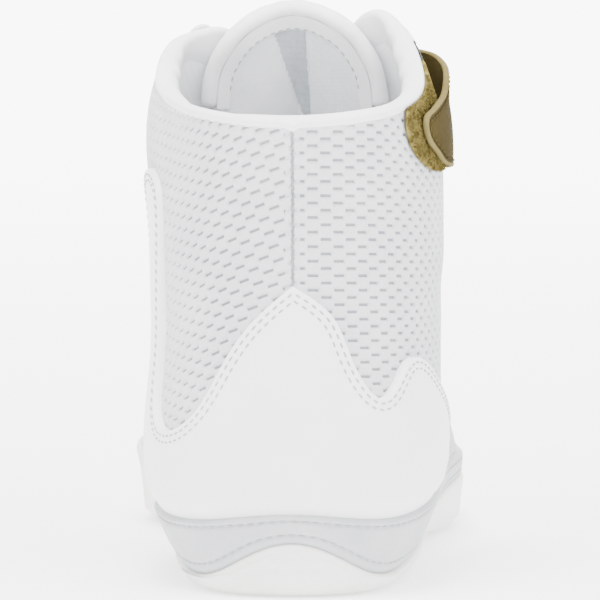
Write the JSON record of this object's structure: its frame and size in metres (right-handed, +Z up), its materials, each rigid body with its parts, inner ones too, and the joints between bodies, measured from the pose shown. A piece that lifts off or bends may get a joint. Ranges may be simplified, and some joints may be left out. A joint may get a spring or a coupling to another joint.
{
  "type": "wrestling shoe",
  "caption": "High laced wrestling shoe with a light mesh upper, a peaked smooth heel counter, a padded collar, an arched tongue, a gold ankle strap and a thin rubber cup sole.",
  "frame": {"origin": "on the floor, at the middle of the flat spot under the heel", "axes": "+Y along the shoe towards the toe, +Z up, +X towards the shoe's outer (lateral) side"},
  "size_m": [0.1065, 0.2756, 0.1644],
  "materials": {
    "mesh_fabric": "woven",
    "white_rubber": "satin",
    "insole_foam": "matt",
    "band_leather": "satin",
    "toe_leather": "satin",
    "facing_leather": "satin",
    "counter_leather": "satin",
    "tongue_mesh": "woven",
    "binding": "matt",
    "collar_roll": "matt",
    "gold_strap": "satin",
    "loop_pile": "looped pile",
    "eyelet_enamel": "enamelled",
    "lace_cord": "woven"
  },
  "bodies": {
    "root": {"ankle_strap": "gold_strap", "collar_binding": "collar_roll", "eyelet_lateral_1": "eyelet_enamel", "eyelet_lateral_2": "eyelet_enamel", "eyelet_lateral_3": "eyelet_enamel", "eyelet_lateral_4": "eyelet_enamel", "eyelet_lateral_5": "eyelet_enamel", "eyelet_lateral_6": "eyelet_enamel", "eyelet_lateral_7": "eyelet_enamel", "eyelet_medial_1": "eyelet_enamel", "eyelet_medial_2": "eyelet_enamel", "eyelet_medial_3": "eyelet_enamel", "eyelet_medial_4": "eyelet_enamel", "eyelet_medial_5": "eyelet_enamel", "eyelet_medial_6": "eyelet_enamel", "eyelet_medial_7": "eyelet_enamel", "eyestay": "facing_leather", "heel_counter": "counter_leather", "insole": "insole_foam", "lace_bar": "lace_cord", "lace_crossing_1": "lace_cord", "lace_crossing_2": "lace_cord", "lace_crossing_3": "lace_cord", "lace_crossing_4": "lace_cord", "lace_crossing_5": "lace_cord", "lace_crossing_6": "lace_cord", "outsole": "white_rubber", "rand": "band_leather", "strap_pad": "loop_pile", "toe_cap": "toe_leather", "tongue": "tongue_mesh", "tongue_binding": "binding", "upper": "mesh_fabric"}
  },
  "joints": []
}
